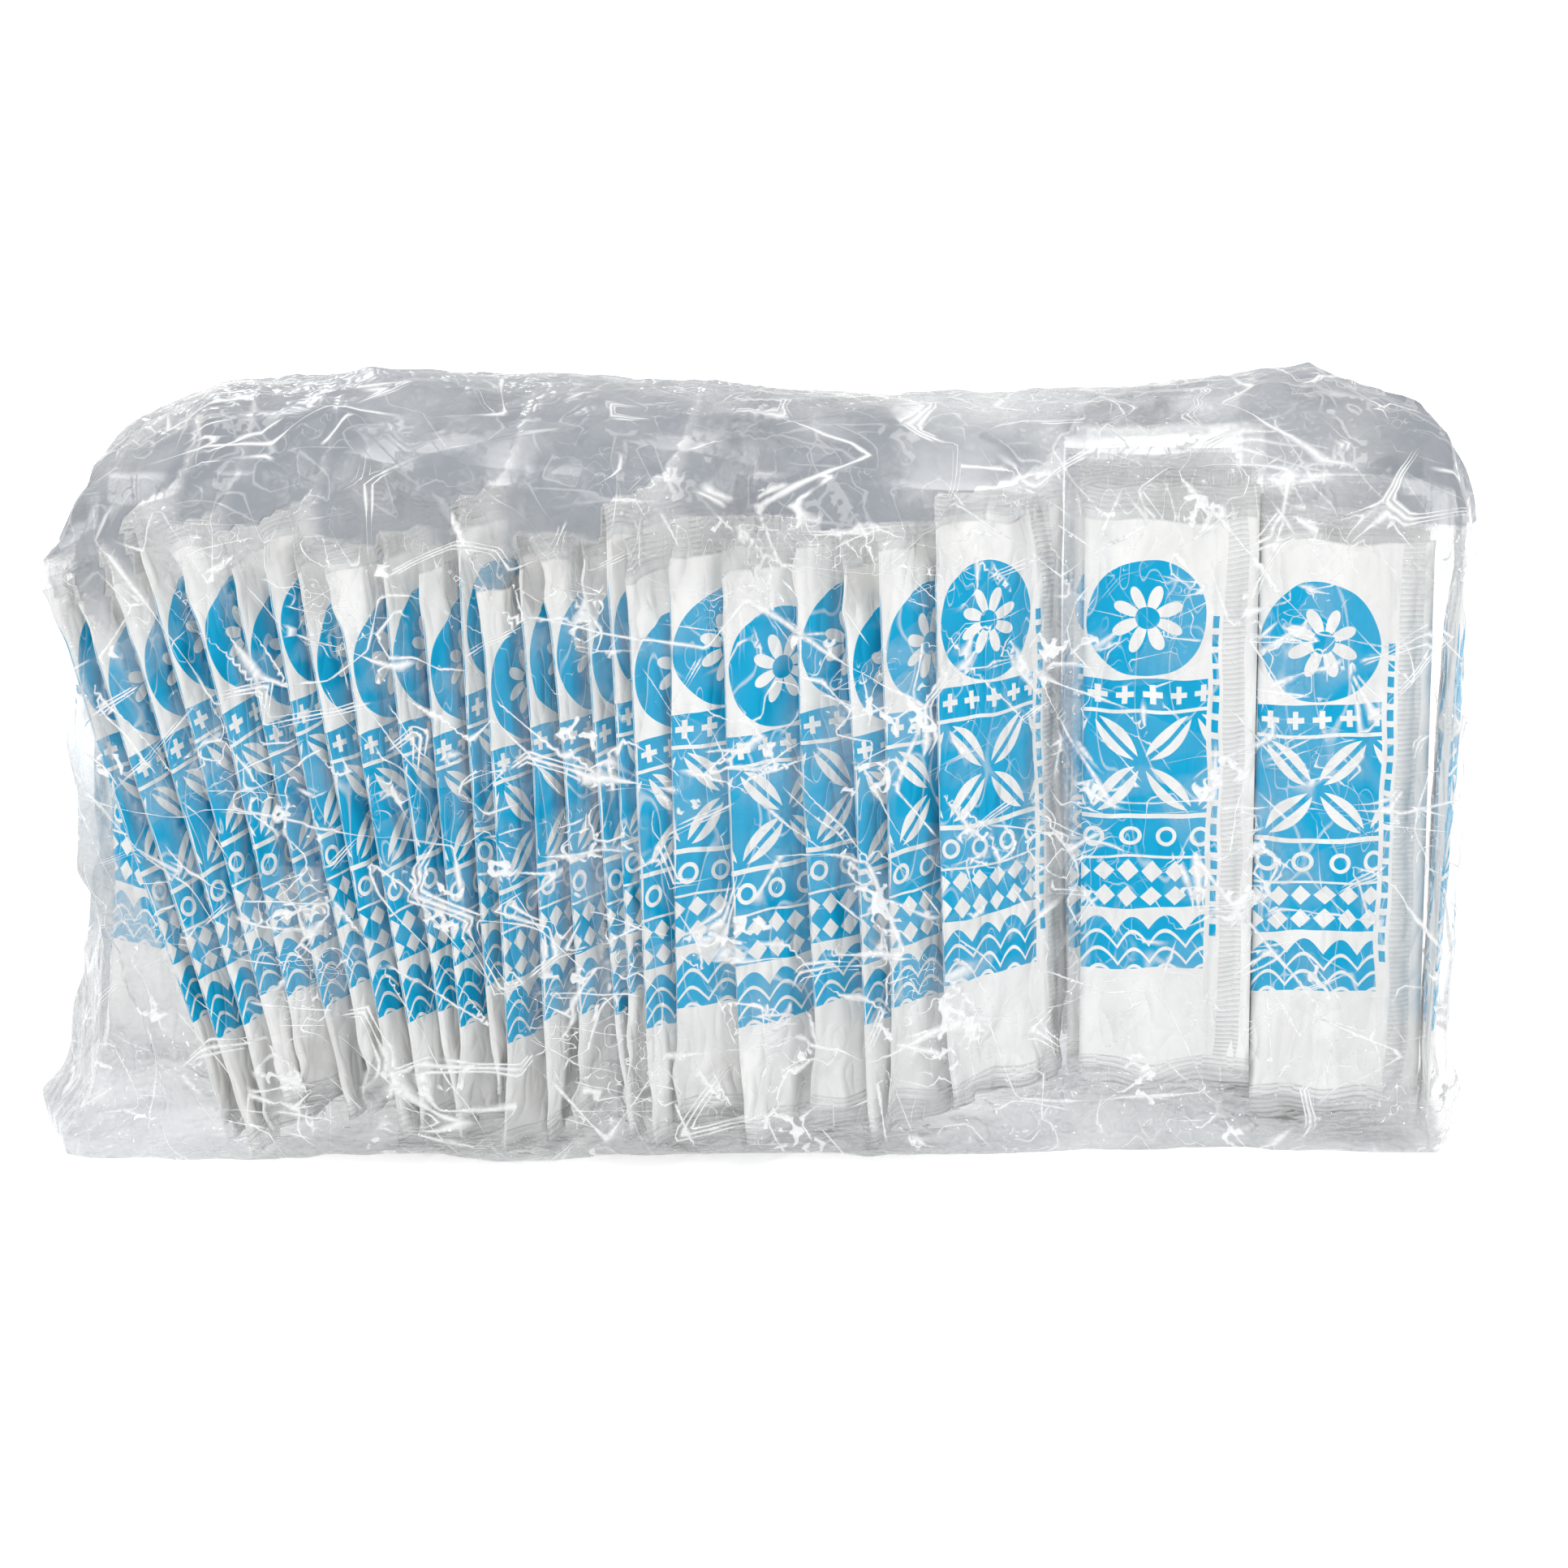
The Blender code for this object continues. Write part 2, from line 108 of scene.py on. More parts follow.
def noiseAt(tree, vector, scale, detail=2.0, distortion=0.0):
    node = tree.nodes.new("ShaderNodeTexNoise")
    put(tree, node.inputs["Vector"], vector)
    put(tree, node.inputs["Scale"], scale)
    node.inputs["Detail"].default_value = detail
    node.inputs["Distortion"].default_value = distortion
    return node.outputs["Fac"]


def mixColor(tree, share, first, second):
    node = tree.nodes.new("ShaderNodeMix")
    node.data_type = "RGBA"
    put(tree, node.inputs[0], share)
    put(tree, node.inputs[6], first)
    put(tree, node.inputs[7], second)
    return node.outputs[2]


def newGroup(name, inputs, outputs):
    group = bpy.data.node_groups.new(name, "ShaderNodeTree")
    for label, kind, value in inputs:
        socket = group.interface.new_socket(label, in_out="INPUT", socket_type=kind)
        if value is not None:
            socket.default_value = value
    for label in outputs:
        group.interface.new_socket(label, in_out="OUTPUT", socket_type="NodeSocketFloat")
    return group, group.nodes.new("NodeGroupInput").outputs, group.nodes.new("NodeGroupOutput").inputs


def useGroup(tree, group, **values):
    node = tree.nodes.new("ShaderNodeGroup")
    node.node_tree = group
    for name, value in values.items():
        put(tree, node.inputs[name], value)
    return node.outputs


def newMaterial(name):
    material = bpy.data.materials.new(name)
    material.use_nodes = True
    tree = material.node_tree
    return material, tree, tree.nodes["Principled BSDF"].inputs


# wrinkles of thin film: thin crease lines, along which highlights are painted, and the height of the folds
def makeWrinkles():
    group, given, result = newGroup("filmWrinkles", [
        ("Vector", "NodeSocketVector", None), ("Scale", "NodeSocketFloat", 20.0),
        ("Line Width", "NodeSocketFloat", 0.012)], ["Lines", "Height", "Patches"])
    vector, scale, width = given["Vector"], given["Scale"], given["Line Width"]

    def fold(shift, factor):
        moved = group.nodes.new("ShaderNodeVectorMath")
        put(group, moved.inputs[0], vector)
        moved.inputs[1].default_value = (shift, -shift, 0.5 * shift)
        field = noiseAt(group, moved.outputs[0], calc(group, "MULTIPLY", scale, factor), 0.0)
        away = calc(group, "ABSOLUTE", calc(group, "SUBTRACT", field, 0.5))
        return away, ramp(group, away, 0.0, width, 1.0, 0.0)

    patches = noiseAt(group, vector, calc(group, "MULTIPLY", scale, 0.4), 1.0)
    broadHeight, broadLine = fold(0.3, 1.0)
    middleHeight, middleLine = fold(1.7, 2.3)
    glintsAndWhitening = either(group,
                   both(group, broadLine, ramp(group, patches, 0.42, 0.52)),
                   both(group, middleLine, ramp(group, patches, 0.52, 0.42)))
    put(group, result["Lines"], glintsAndWhitening)
    put(group, result["Patches"], patches)
    put(group, result["Height"], calc(group, "ADD", broadHeight, calc(group, "MULTIPLY", middleHeight, 0.45)))
    return group


# the blue print, laid out in millimetres across and up the wrapped set
printLook = {
    "width": 68.0, "height": 245.0,
    "left": 0.0, "right": 49.0,            # the printed block
    "flower": (24.5, 193.0, 23.5), "petalShare": 0.60,       # middle and radius
    "plusRow": (156.5, 168.5), "leaves": (114.0, 155.0), "tile": 20.5, "circleBand": (96.0, 112.0),
    "diamonds": (75.0, 95.0), "scallops": (50.0, 73.0),
    "dashes": (51.0, 53.5), "dashRows": (62.0, 196.0),
    "napkinRows": (4.0, 231.0),
    "fin": (55.0, 63.5), "crimp": 10.0, "ribStep": 2.1,      # the ribbed seal down one face, and those across the ends
    "blue": (0.0, 0.39, 0.68, 1.0), "napkin": (0.95, 0.95, 0.935, 1.0), "shade": (0.87, 0.87, 0.855, 1.0),
    "filmColor": (0.93, 0.94, 0.94, 1.0), "sealRibShade": (0.70, 0.72, 0.73, 1.0),
}


def repeat(tree, value, step):
    turned = calc(tree, "FLOORED_MODULO", value, step)
    return calc(tree, "SUBTRACT", turned, step / 2)


def makePrint(look):
    group, given, result = newGroup("bluePrint", [("Vector", "NodeSocketVector", None)], ["Ink", "Napkin", "Seal"])
    parts = group.nodes.new("ShaderNodeSeparateXYZ")
    put(group, parts.inputs[0], given["Vector"])
    u = calc(group, "MULTIPLY", parts.outputs[0], look["width"])
    v = calc(group, "MULTIPLY", parts.outputs[1], look["height"])
    onBack = calc(group, "GREATER_THAN", u, look["width"])
    u = calc(group, "SUBTRACT", u, calc(group, "MULTIPLY", onBack, look["width"] + 10))
    block = within(group, u, look["left"], look["right"])

    def length(x, y):
        squares = calc(group, "ADD", calc(group, "MULTIPLY", x, x), calc(group, "MULTIPLY", y, y))
        return calc(group, "SQRT", squares)

    # a solid disc with eight white petals
    x = calc(group, "SUBTRACT", u, look["flower"][0])
    y = calc(group, "SUBTRACT", v, look["flower"][1])
    distance = length(x, y)
    wave = calc(group, "ABSOLUTE", calc(group, "SINE", calc(group, "MULTIPLY", calc(group, "ARCTAN2", y, x), 4.0)))
    petal = calc(group, "MULTIPLY", calc(group, "POWER", wave, 0.6), look["petalShare"] * look["flower"][2])
    petals = either(group, calc(group, "GREATER_THAN", distance, petal), calc(group, "LESS_THAN", distance, 4.5))
    flower = both(group, petals, calc(group, "LESS_THAN", distance, look["flower"][2]))

    # a band of white plus signs
    x = calc(group, "ABSOLUTE", repeat(group, u, 10.5))
    y = calc(group, "ABSOLUTE", calc(group, "SUBTRACT", v, sum(look["plusRow"]) / 2))
    plus = either(group,
                  both(group, calc(group, "LESS_THAN", x, 1.1), calc(group, "LESS_THAN", y, 3.6)),
                  both(group, calc(group, "LESS_THAN", y, 1.1), calc(group, "LESS_THAN", x, 3.6)))
    plus = calc(group, "SUBTRACT", 1.0, plus)

    # white leaves on solid tiles, each turned against the next
    tile = look["tile"]
    fromLeft = calc(group, "FLOORED_MODULO", calc(group, "SUBTRACT", u, look["left"] + 3), 2 * tile)
    fromBelow = calc(group, "FLOORED_MODULO", calc(group, "SUBTRACT", v, look["leaves"][0]), 2 * tile)
    x = calc(group, "PINGPONG", fromLeft, tile)
    y = calc(group, "PINGPONG", fromBelow, tile)
    bend = tile * 0.94
    leaf = both(group, calc(group, "LESS_THAN", length(x, calc(group, "SUBTRACT", tile, y)), bend),
                calc(group, "LESS_THAN", length(calc(group, "SUBTRACT", tile, x), y), bend))
    vein = calc(group, "LESS_THAN", calc(group, "ABSOLUTE", calc(group, "SUBTRACT", x, y)), 1.4)
    leaf = both(group, either(group, calc(group, "SUBTRACT", 1.0, leaf), vein), within(group, v, *look["leaves"]))

    # a solid band with round windows, then small diamonds, then scallops
    x = repeat(group, calc(group, "ADD", u, 2.0), 14.0)
    y = calc(group, "SUBTRACT", v, sum(look["circleBand"]) / 2)
    window = calc(group, "GREATER_THAN", length(x, y), 4.2)
    dot = calc(group, "LESS_THAN", length(x, y), 2.6)
    band = both(group, within(group, v, *look["circleBand"]), either(group, window, dot))
    x = calc(group, "ABSOLUTE", repeat(group, u, 9.3))
    y = calc(group, "ABSOLUTE", repeat(group, v, 10.0))
    diamond = both(group, calc(group, "LESS_THAN", calc(group, "ADD", x, y), 5.5),
                   within(group, v, *look["diamonds"]))
    crest = calc(group, "ABSOLUTE", calc(group, "SINE", calc(group, "MULTIPLY", u, math.pi / 14)))
    top = calc(group, "ADD", calc(group, "MULTIPLY", crest, 6.0), look["scallops"][1] - 6)
    below = both(group, calc(group, "LESS_THAN", v, top), calc(group, "GREATER_THAN", v, look["scallops"][0]))
    depth = calc(group, "FLOORED_MODULO", calc(group, "SUBTRACT", top, v), 7.0)
    scallop = both(group, below, calc(group, "GREATER_THAN", depth, 1.5))

    # a column of short dashes beside the block
    dash = both(group, within(group, u, *look["dashes"]), within(group, v, *look["dashRows"]),
                calc(group, "LESS_THAN", calc(group, "FLOORED_MODULO", v, 7.0), 4.6))
    plusOrBlock = both(group, block, either(
        group, flower, both(group, plus, within(group, v, *look["plusRow"])), leaf, band, diamond, scallop))
    put(group, result["Ink"], either(group, plusOrBlock, dash))
    low, high = look["napkinRows"]
    napkin = both(group, ramp(group, v, low, low + 2), ramp(group, v, high, high + 2, 1.0, 0.0))
    put(group, result["Napkin"], napkin)
    fin = both(group, within(group, u, *look["fin"]), calc(group, "SUBTRACT", 1.0, onBack))
    ends = either(group, calc(group, "LESS_THAN", v, look["crimp"]),
                  calc(group, "GREATER_THAN", v, look["height"] - look["crimp"]))
    put(group, result["Seal"], either(group, fin, ends))
    return group


def makeWrapMaterial(look, wrinkles, bluePrint):
    material, tree, shader = newMaterial("wrappedSet")
    layout = tree.nodes.new("ShaderNodeUVMap")
    layout.uv_map = "printLayout"
    place = tree.nodes.new("ShaderNodeTexCoord").outputs["Object"]
    masks = useGroup(tree, bluePrint, Vector=layout.outputs[0])
    folds = useGroup(tree, wrinkles, **{"Vector": scaled(tree, place, (1.0, 1.0, 0.4)), "Scale": 70.0,
                                        "Line Width": 0.022})
    ribs = calc(tree, "SINE", calc(tree, "MULTIPLY", ribsAcross(tree, layout, look), 2 * math.pi / look["ribStep"]))
    sealed = masks["Seal"]
    creaseGlints = folds["Lines"]                 # painted highlight: along the creases the print is lightened and the clear film turned white
    ink = both(tree, masks["Ink"], calc(tree, "SUBTRACT", 1.0, calc(tree, "MULTIPLY", creaseGlints, 0.5)))
    inside = ramp(tree, noiseAt(tree, scaled(tree, place, (1.0, 1.0, 0.25)), 60.0, 1.0), 0.40, 0.62)
    paper = mixColor(tree, ink, mixColor(tree, inside, look["shade"], look["napkin"]), look["blue"])
    clear = mixColor(tree, creaseGlints, look["filmColor"], (1, 1, 1, 1))
    # painted shade: the troughs of the ribbed seals are darkened towards the seal rib shade
    sealShade = calc(tree, "MULTIPLY", sealed, ramp(tree, ribs, -0.6, 0.8, 0.45, 0.0))
    clear = mixColor(tree, sealShade, mixColor(tree, masks["Napkin"], clear, paper), look["sealRibShade"])
    put(tree, shader["Base Color"], clear)
    hazy = ramp(tree, folds["Patches"], 0.38, 0.62, 0.22, 0.62)
    filmAlpha = calc(tree, "MAXIMUM", hazy, calc(tree, "MULTIPLY", creaseGlints, 0.95))
    put(tree, shader["Alpha"], calc(tree, "MAXIMUM", masks["Napkin"], filmAlpha))
    height = calc(tree, "ADD", folds["Height"], calc(tree, "MULTIPLY", both(tree, ribs, sealed), 0.06))
    bump = tree.nodes.new("ShaderNodeBump")
    bump.inputs["Distance"].default_value = 0.007
    bump.inputs["Strength"].default_value = 0.7
    put(tree, bump.inputs["Height"], height)
    put(tree, shader["Normal"], bump.outputs[0])
    put(tree, shader["Roughness"], ramp(tree, folds["Patches"], 0.3, 0.7, 0.16, 0.30))
    shader["Specular IOR Level"].default_value = 0.10
    material.use_transparent_shadow = False
    return material


def ribsAcross(tree, layout, look):
    parts = tree.nodes.new("ShaderNodeSeparateXYZ")
    put(tree, parts.inputs[0], layout.outputs[0])
    return calc(tree, "MULTIPLY", parts.outputs[1], look["height"])


# one wrapped set: its CAD solid's form, finely divided, with wrinkles pressed in
setShape = {
    "columns": 24, "rows": 64,
    "rim": 0.998,                # share of the width that the faces are taken from
    "reach": 0.05,
    "furrowDepth": 0.0008, "furrowStep": 0.0165,
    "puckerDepth": 0.0013, "puckerRun": 0.014,
    "wrinkleDepth": 0.0015,
    "finLeft": 0.051, "finRight": 0.061, "finEdge": 0.0005, "finDepth": 0.0005,
    "curl": 0.0022, "crumple": 0.0030, "curlRun": 0.026,
    "fanBend": 2.4, "fanRun": 0.048,             # the fanned sets' ends bend farther, away from the film
    "slip": 0.022,               # how unevenly the print lies along the sets, as a share of their length
    "drag": 0.0016,              # how far wrinkles drag the print out of line
}


def easeIn(value, start, end):
    share = min(1.0, max(0.0, (value - start) / (end - start)))
    return share * share * (3 - 2 * share)


def solidTree(names):
    bm = bmesh.new()
    for name in names:
        bm.from_mesh(nodes[name].data)
    bmesh.ops.remove_doubles(bm, verts=bm.verts, dist=vertexStep)
    tree = BVHTree.FromBMesh(bm)
    points = np.array([v.co[:] for v in bm.verts])
    bm.free()
    return tree, points


def axesOf(points):
    # the directions across, up and out of a wrapped set, and its middle
    middle = (points.min(0) + points.max(0)) / 2
    values, vectors = np.linalg.eigh(np.cov((points - points.mean(0)).T))
    up, out = Vector(vectors[:, 2]), Vector(vectors[:, 0])
    up = up if up.z > 0 else -up
    out = out if out.y < 0 else -out
    across = up.cross(out)
    spans = [np.array([(Vector(p - middle)).dot(axis) for p in points]) for axis in (across, up)]
    centre = Vector(middle)
    for axis, span in zip((across, up), spans):
        centre += axis * float((span.min() + span.max()) / 2)
    return centre, across, up, out, [float(span.max() - span.min()) for span in spans]


def columnPlaces(width, shape):
    even = [width * i / shape["columns"] for i in range(shape["columns"] + 1)]
    fin = [shape["finLeft"], shape["finLeft"] + shape["finEdge"],
           shape["finRight"] - shape["finEdge"], shape["finRight"]]
    return sorted([x for x in even if all(abs(x - f) > 0.0012 for f in fin)] + fin)


def pressedIn(x, z, height, side, seed, shape):
    # how far the film lies inside the solid's surface, x across and z up the set
    toEnd = min(z, height - z)
    belly = easeIn(toEnd, 0.02, 0.06)
    sway = noise.noise(Vector((z * 14, side, seed)))
    furrow = 0.5 + 0.5 * math.cos(2 * math.pi * x / shape["furrowStep"] + 1.5 * sway)
    depth = shape["furrowDepth"] * belly * furrow * (0.5 + sway)
    pucker = abs(noise.noise(Vector((x * 170 + seed, z * 9, side))))
    depth += 2 * shape["puckerDepth"] * pucker * math.exp(-((toEnd - 0.016) / shape["puckerRun"]) ** 2)
    broad = abs(noise.noise(Vector((x * 45, z * 26, seed + side))))
    fine = abs(noise.noise(Vector((x * 120, z * 60, seed - side))))
    depth += shape["wrinkleDepth"] * belly * (broad + 0.6 * fine)
    onFin = side < 0 and shape["finLeft"] + shape["finEdge"] / 2 < x < shape["finRight"] - shape["finEdge"] / 2
    return max(0.0, depth) + (0.0 if onFin or side > 0 else shape["finDepth"])


def wrappedSet(name, index, shape, material):
    tree, points = solidTree([name])
    centre, across, up, out, (width, height) = axesOf(points)
    places = columnPlaces(width, shape)
    seed = index * 3.17
    slip = shape["slip"] * noise.noise(Vector((seed, 0.4, 0.7)))
    fanned = name.startswith(("front", "back"))
    run = shape["fanRun"] if fanned else shape["curlRun"]
    bm = bmesh.new()
    layout = {}
    for side in (-1, 1):
        made = bmesh.ops.create_grid(bm, x_segments=len(places) - 1, y_segments=shape["rows"], size=1.0)["verts"]
        for vert in made:
            x = places[round((vert.co.x + 1) / 2 * (len(places) - 1))]
            z = height * (vert.co.y + 1) / 2
            drag = noise.noise_vector(Vector((x * 60, z * 45, seed))) * shape["drag"]
            drag *= 1 + 1.6 * (1 - easeIn(min(z, height - z), 0.008, 0.035))
            layout[vert] = ((x + drag.x) / width + (1 if side > 0 else 0), (z + drag.y) / height + slip)
            flat = centre + across * (x - width / 2) * shape["rim"] + up * (z - height / 2) * shape["rim"]
            away = out * -side
            hit = tree.ray_cast(flat + away * shape["reach"], -away)[0] or flat
            room = (hit - flat).dot(out)
            toEnd = min(z, height - z)
            rim = easeIn(min(x, width - x), 0.0, 0.008) * easeIn(toEnd, 0.0, 0.006)
            inward = pressedIn(x, z, height, side, seed, shape) * rim
            loose = 1 - easeIn(toEnd, 0.0, run)
            atTop = z > height / 2
            curl = shape["curl"] * math.sin(x * 140 + seed + (2.0 if atTop else 0.0))
            curl += shape["crumple"] * noise.noise(Vector((x * 95 + seed, z * 70, 4.0 if atTop else 9.0)))
            curl *= loose * (shape["fanBend"] if fanned and curl < 0 else 1)
            vert.co = flat + out * (room + curl) - away * inward
    rims = [edge for edge in bm.edges if edge.is_boundary]
    bmesh.ops.bridge_loops(bm, edges=rims)
    bmesh.ops.recalc_face_normals(bm, faces=bm.faces)
    uv = bm.loops.layers.uv.new("printLayout")
    for face in bm.faces:
        face.smooth = True
        for loop in face.loops:
            loop[uv].uv = layout[loop.vert]
    return finished(bm, name + "_wrap", material, name)


def finished(bm, name, material, node):
    mesh = bpy.data.meshes.new(name)
    bm.to_mesh(mesh)
    bm.free()
    mesh.materials.append(material)
    piece = bpy.data.objects.new(name, mesh)
    scene.collection.objects.link(piece)
    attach(piece, "root")
    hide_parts(node)
    return piece


# the outer bag
bagShape = {
    "frontColumns": 200, "endColumns": 88,
    "bottomRows": 7, "footRows": 6, "sideStep": 0.0028, "domeRows": 36,
    "footHeight": 0.016, "crownDrop": 0.049,
    "spineInset": 0.075,
    "clear": 0.0007,             # least air between the film and a wrapped set
    "farthest": 0.06,
    "bridge": 9,                 # the film spans hollows of up to twice as many steps of its grid
    "cling": 0.85,               # share of the room to the wrapped sets that the film is drawn in
    "mostDrawn": 0.012,
    "shoulder": (0.235, 0.270, 0.150, 0.007),    # where the left end is pulled in, above what height, how far
    "folds": (                   # size, turn, stretch and steepness of each set of polygon folds
        (0.052, 20, 1.6, 0.15), (0.027, -35, 2.2, -0.20), (0.014, 60, 1.5, 0.22)),
    "streaks": (                 # the same for the long straight ones
        (0.026, 8, 7.0, 0.10), (0.022, 52, 6.0, -0.10), (0.020, -28, 8.0, 0.08)),
    "pleats": (0.0, 0.016, 0.0045, 0.0016),      # middle, run, width and height of the gathered film at the top
    "footFolds": 0.5,            # share of its folds that the film keeps just above the floor
    "taut": 0.55,                # share of its folds that the film loses at the ends and along the top
    "proud": 0.004,
}


def bagRays(shape, low, high):
    # where each point of the film's grid is looked for: a start inside the bag, and a direction
    middle = (low.y + high.y) / 2
    left, right = low.x + shape["spineInset"], high.x - shape["spineInset"]
    steps, ends = shape["frontColumns"], shape["endColumns"]
    columns = [(left + (right - left) * i / steps, -90.0) for i in range(steps)]
    columns += [(right, -90 + 180 * i / ends) for i in range(ends)]
    columns += [(right - (right - left) * i / steps, 90.0) for i in range(steps)]
    columns += [(left, 90 + 180 * i / ends) for i in range(ends + 1)]
    foot, crown = shape["footHeight"], high.z - shape["crownDrop"]
    depth = (high.y - low.y) / 2
    rows = []
    for i in range(shape["bottomRows"]):
        rows.append((foot, -math.atan2(foot, depth * 0.92 * i / (shape["bottomRows"] - 1))))
    for i in range(1, shape["footRows"]):
        rows.append((foot, -math.atan2(foot * (1 - i / shape["footRows"]), depth)))
    count = round((crown - foot) / shape["sideStep"])
    rows += [(foot + (crown - foot) * i / count, 0.0) for i in range(count + 1)]
    rows += [(crown, math.pi / 2 * i / shape["domeRows"]) for i in range(1, shape["domeRows"] + 1)]
    starts, ways = [], []
    for z, rise in rows:
        starts.append([(x, middle, z) for x, turn in columns])
        ways.append([(math.cos(rise) * math.cos(math.radians(turn)), math.cos(rise) * math.sin(math.radians(turn)),
                      math.sin(rise)) for x, turn in columns])
    return np.array(starts), np.array(ways)


def neighbours(field):
    wide = np.concatenate([field[:, -2:-1], field, field[:, 1:2]], axis=1)
    tall = np.concatenate([wide[:1], wide, wide[-1:]], axis=0)
    rows, columns = field.shape
    return np.array([tall[j:j + rows, i:i + columns] for j in range(3) for i in range(3)])


def nearestOf(field, times):
    for _ in range(times):
        field = neighbours(field).min(0)
    return field


def softened(field, times):
    for _ in range(times):
        field = neighbours(field).mean(0)
    return field


def castGrid(tree, starts, ways, reaches, missing):
    # how far from each start, looking back from reaches, the surface lies
    found = np.empty(reaches.shape)
    for j in range(reaches.shape[0]):
        for i in range(reaches.shape[1]):
            way = Vector(ways[j, i])
            hit = tree.ray_cast(Vector(starts[j, i]) + way * reaches[j, i], -way)
            found[j, i] = reaches[j, i] - hit[3] if hit[0] else missing
    return found


def polygonField(points, size, turn, stretch, seed):
    # a distance with a sign, and zero along the straight edges between two sets of scattered spots
    flat = points.reshape(-1, 3) @ np.array(Matrix.Rotation(math.radians(turn), 3, "Y"))
    flat = flat * (1 / stretch, 1.0, 1.0)
    picks = np.random.default_rng(seed).choice(len(flat), int(len(flat) * 6.2e-6 / size ** 2), replace=False)
    found = []
    for spots in (picks[::2], picks[1::2]):
        tree = KDTree(len(spots))
        for i, spot in enumerate(spots):
            tree.insert(flat[spot], i)
        tree.balance()
        found.append(np.array([tree.find(co)[2] for co in flat]))
    return (found[0] - found[1]).reshape(points.shape[:2])


def filmFields(points, shape):
    # folds and streaks of the film, each field zero along its creases, and where each of them is strong
    sway = np.array([noise.noise_vector(Vector(p) * 16) for p in points.reshape(-1, 3)]).reshape(points.shape) * 0.006
    folds = np.array([polygonField(points + sway, *fold[:3], 11 + k) for k, fold in enumerate(shape["folds"])])
    streaks = np.array([polygonField(points + sway * 0.5, *one[:3], 31 + k) for k, one in enumerate(shape["streaks"])])
    patches = np.array([[noise.noise(Vector(p) * (8 + 3 * k) + Vector((k * 9.1, 3.3, 2.2)))
                         for p in points.reshape(-1, 3)] for k in range(3)]).reshape(3, *points.shape[:2])
    return folds, streaks, patches


def smoothStep(field, start, end):
    share = np.clip((field - start) / (end - start), 0, 1)
    return share * share * (3 - 2 * share)


def outerBag(shape, material):
    low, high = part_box("outer_bag")
    bagTree = solidTree(["outer_bag"])[0]
    setsTree = solidTree([name for name in nodes if name != "outer_bag"])[0]
    starts, ways = bagRays(shape, low, high)
    far = np.full(starts.shape[:2], 0.5)
    reach = castGrid(bagTree, starts, ways, far, 0.01)
    reach = np.maximum(reach, softened(reach, 6) * 0.8)      # passes over the vent hole
    room = reach - np.maximum(castGrid(setsTree, starts, ways, reach, 0.0), 0.0)
    room = np.minimum(room, shape["farthest"])
    points = starts + ways * reach[..., None]
    print("film: rays cast, grid of", reach.shape)

    height = points[..., 2]
    upTo = smoothStep(height, 0.004, 0.03)
    drawn = softened(nearestOf(room, shape["bridge"]), 6) * shape["cling"]
    dome = smoothStep(height, high.z - shape["crownDrop"] - 0.02, high.z - 0.02)
    drawn = np.minimum(drawn, shape["mostDrawn"]) * (1 - dome)
    start, end, above, pull = shape["shoulder"]
    drawn += pull * smoothStep(-points[..., 0], start, end) * smoothStep(height, above, above + 0.06)
    folds, streaks, patches = filmFields(points, shape)
    lift = np.zeros(reach.shape)
    for k, (size, turn, stretch, steep) in enumerate(shape["folds"]):
        strong = 0.35 + 0.9 * smoothStep(patches[k], -0.25, 0.35)
        lift += steep * strong * (np.abs(folds[k]) - np.abs(folds[k]).mean())
    for k, (size, turn, stretch, steep) in enumerate(shape["streaks"]):
        strong = smoothStep(patches[k], 0.25, -0.15)
        lift += steep * strong * (np.abs(streaks[k]) - np.abs(streaks[k]).mean())
    middle, run, width, tall = shape["pleats"]
    gathered = np.exp(-((points[..., 0] - middle) / run) ** 2) * smoothStep(height, 0.20, 0.26)
    gathered *= smoothStep(-height, -0.308, -0.29)
    lift += tall * gathered * np.cos(2 * math.pi * points[..., 0] / width)
    taut = smoothStep(np.abs(points[..., 0]), 0.235, 0.28) + smoothStep(height, 0.285, 0.305)
    lift *= np.maximum(upTo, shape["footFolds"] * smoothStep(height, 0.0005, 0.005))
    lift *= 1 - shape["taut"] * np.minimum(taut, 1)
    place = reach - drawn * upTo + lift
    least = reach - nearestOf(room, 1) + shape["clear"]
    place = np.clip(place, least, reach + shape["proud"])
    place = np.where(height < 0.0005, reach, place)
    place[-1] = reach[-1] + np.minimum(lift[-1], 0.002)
    points = starts + ways * place[..., None]
    points[..., 2] = np.maximum(points[..., 2], 0.0)
    print("film: folds laid out")

    rows, columns = place.shape
    bm = bmesh.new()
    gapLayer = bm.verts.layers.float.new("gap")
    foldLayer = bm.verts.layers.float_vector.new("folds")
    streakLayer = bm.verts.layers.float_vector.new("streaks")
    grid = bmesh.ops.create_grid(bm, x_segments=columns - 1, y_segments=rows - 1, size=1.0)["verts"]
    gap = place - (reach - room)
    for vert in grid:
        i = round((vert.co.x + 1) / 2 * (columns - 1))
        j = round((vert.co.y + 1) / 2 * (rows - 1))
        vert.co = points[j, i]
        vert[gapLayer] = gap[j, i]
        vert[foldLayer] = folds[:, j, i]
        vert[streakLayer] = streaks[:, j, i]
    bmesh.ops.remove_doubles(bm, verts=bm.verts, dist=vertexStep)
    weldEdge(bm)
    bmesh.ops.recalc_face_normals(bm, faces=bm.faces)
    for face in bm.faces:
        face.smooth = True
    bag = finished(bm, "filmBag", material, "outer_bag")
    bag.visible_shadow = bag.visible_diffuse = bag.visible_glossy = False     # thin film hardly dims what is behind it
    return bag


def weldEdge(bm):
    # closes the bottom and the ridge, where the front's last row meets the back's
    rims = [vert for vert in bm.verts if vert.is_boundary]
    bmesh.ops.remove_doubles(bm, verts=rims, dist=0.0009)
    loose = [edge for edge in bm.edges if edge.is_boundary]
    print("film: open edges left", len(loose))
    if loose:
        bmesh.ops.holes_fill(bm, edges=loose, sides=0)


